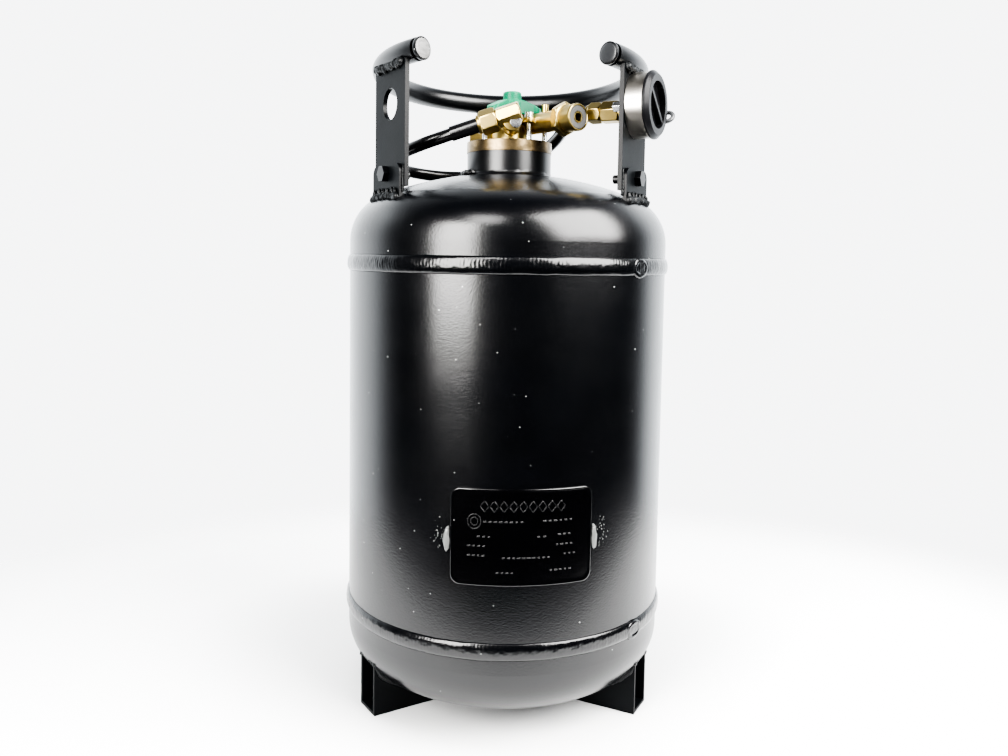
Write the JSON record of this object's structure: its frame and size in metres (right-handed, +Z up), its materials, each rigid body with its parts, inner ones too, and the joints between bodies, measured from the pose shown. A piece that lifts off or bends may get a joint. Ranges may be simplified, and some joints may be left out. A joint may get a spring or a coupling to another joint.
{
  "type": "refillable gas tank",
  "caption": "Upright refillable gas tank for motorhomes and caravans, with a carrying ring, multivalve, fill point and feet.",
  "frame": {"origin": "on the floor, on the tank's axis", "axes": "+Z up along the tank's axis; -Y towards the rating plate, the side with the gap in the carrying ring; +X to the fill point's side"},
  "size_m": [0.3056, 0.3056, 0.5996],
  "materials": {
    "black_paint": "semi-gloss, fine orange peel",
    "ground_steel": "ground end discs",
    "black_fasteners": "semi-gloss",
    "bronze_flange": "bare, mottled",
    "valve_brass": "machined, bright",
    "zinc_steel": "zinc plated",
    "stainless": "bright",
    "brass": "machined",
    "seal_rubber": "matte",
    "hose_rubber": "matte",
    "green_plastic": "satin",
    "black_plastic": "satin",
    "grey_plastic": "satin",
    "red_plastic": "satin",
    "clear_lens": "clear"
  },
  "bodies": {
    "tank": {"bonnet_nut": "valve_brass", "dip_tube": "valve_brass", "fill_adapter": "valve_brass", "fill_barrel": "stainless", "fill_hose": "hose_rubber", "fill_hose_nut": "valve_brass", "fill_point_screws": "zinc_steel", "fill_spring": "stainless", "float_bracket": "zinc_steel", "foot_front_left": "black_paint", "foot_front_right": "black_paint", "foot_rear": "black_paint", "foot_welds": "black_paint", "gauge_dial": "grey_plastic", "gauge_lens": "clear_lens", "handle_lugs": "black_paint", "handle_ring": "black_paint", "handle_welds": "black_paint", "hose_sleeve": "hose_rubber", "inlet_elbow": "valve_brass", "inlet_nut": "valve_brass", "inlet_stud": "zinc_steel", "lower_girth_weld": "black_paint", "lower_head": "black_paint", "lug_bolts": "black_fasteners", "lug_nuts": "black_fasteners", "neck_collar": "black_paint", "neck_flange_ring": "bronze_flange", "neck_weld": "black_paint", "outlet_adapter": "valve_brass", "outlet_gasket": "seal_rubber", "plate_tack_welds": "black_paint", "rating_plate": "black_paint", "relief_cap": "valve_brass", "relief_spring": "stainless", "ring_end_caps": "ground_steel", "shell_cylinder": "black_paint", "stem_packing": "seal_rubber", "strap_left": "black_paint", "strap_rear": "black_paint", "strap_right": "black_paint", "upper_girth_weld": "black_paint", "upper_head": "black_paint", "valve_body": "valve_brass", "valve_o_ring": "seal_rubber", "valve_screws": "zinc_steel"},
    "shutoff_wheel": {"handwheel": "green_plastic", "valve_spindle": "stainless"},
    "shutoff_plug": {"valve_plug": "brass"},
    "contents_float": {"float_arm": "stainless", "float": "grey_plastic", "float_gear": "grey_plastic"},
    "gauge_spindle": {"gauge_shaft": "stainless"},
    "gauge_needle": {"gauge_pointer": "red_plastic"},
    "relief_poppet": {"relief_plug": "brass"},
    "inlet_check": {"inlet_plunger": "brass"},
    "filler_check": {"fill_poppet": "brass"},
    "filler_cap": {"fill_cap": "black_plastic", "cap_tether": "grey_plastic"},
    "bleeder": {"bleed_screw": "brass"}
  },
  "joints": [
    {"name": "shutoff_turn", "type": "hinge", "parent": "tank", "child": "shutoff_wheel", "pos_m": [0.002, 0, 0.555], "axis": [0, 0, 1], "range_deg": [0, 900]},
    {"name": "shutoff_lift", "type": "slide", "parent": "tank", "child": "shutoff_plug", "axis": [0, 0, 1], "range_m": [0, 0.0038]},
    {"name": "float_swing", "type": "hinge", "parent": "tank", "child": "contents_float", "pos_m": [-0.009, 0.0215, 0.27], "axis": [0, -1, 0], "range_deg": [0, 80]},
    {"name": "gauge_shaft_turn", "type": "hinge", "parent": "tank", "child": "gauge_spindle", "pos_m": [-0.009, 0.016, 0.4], "axis": [0, 0, 1], "range_deg": [0, 80]},
    {"name": "gauge_needle_turn", "type": "hinge", "parent": "tank", "child": "gauge_needle", "pos_m": [-0.009, 0.016, 0.544], "axis": [0, 0, 1], "range_deg": [0, 80]},
    {"name": "relief_lift", "type": "slide", "parent": "tank", "child": "relief_poppet", "axis": [0, 0, 1], "range_m": [0, 0.003], "stiffness_N_per_m": 3000, "springref_m": -0.019, "deforming": ["relief_spring"]},
    {"name": "inlet_check_slide", "type": "slide", "parent": "tank", "child": "inlet_check", "axis": [0, 1, 0], "range_m": [0, 0.003], "stiffness_N_per_m": 300, "springref_m": -0.005},
    {"name": "filler_check_slide", "type": "slide", "parent": "tank", "child": "filler_check", "axis": [-0.866, 0.5, 0], "range_m": [0, 0.004], "stiffness_N_per_m": 400, "springref_m": -0.01, "deforming": ["fill_spring"]},
    {"name": "filler_cap_turn", "type": "hinge", "parent": "tank", "child": "filler_cap", "pos_m": [0.12471, -0.072, 0.55], "axis": [0.866, -0.5, 0], "range_deg": [0, 90]},
    {"name": "bleeder_turn", "type": "hinge", "parent": "tank", "child": "bleeder", "pos_m": [0.03126, -0.02919, 0.55], "axis": [0, 0, 1], "range_deg": [0, 360]}
  ],
  "couplings": [
    {"joint": "shutoff_lift", "follows": "shutoff_turn", "m_per_rad": 0.00023873},
    {"joint": "gauge_shaft_turn", "follows": "float_swing", "ratio": 1},
    {"joint": "gauge_needle_turn", "follows": "float_swing", "ratio": 1}
  ]
}
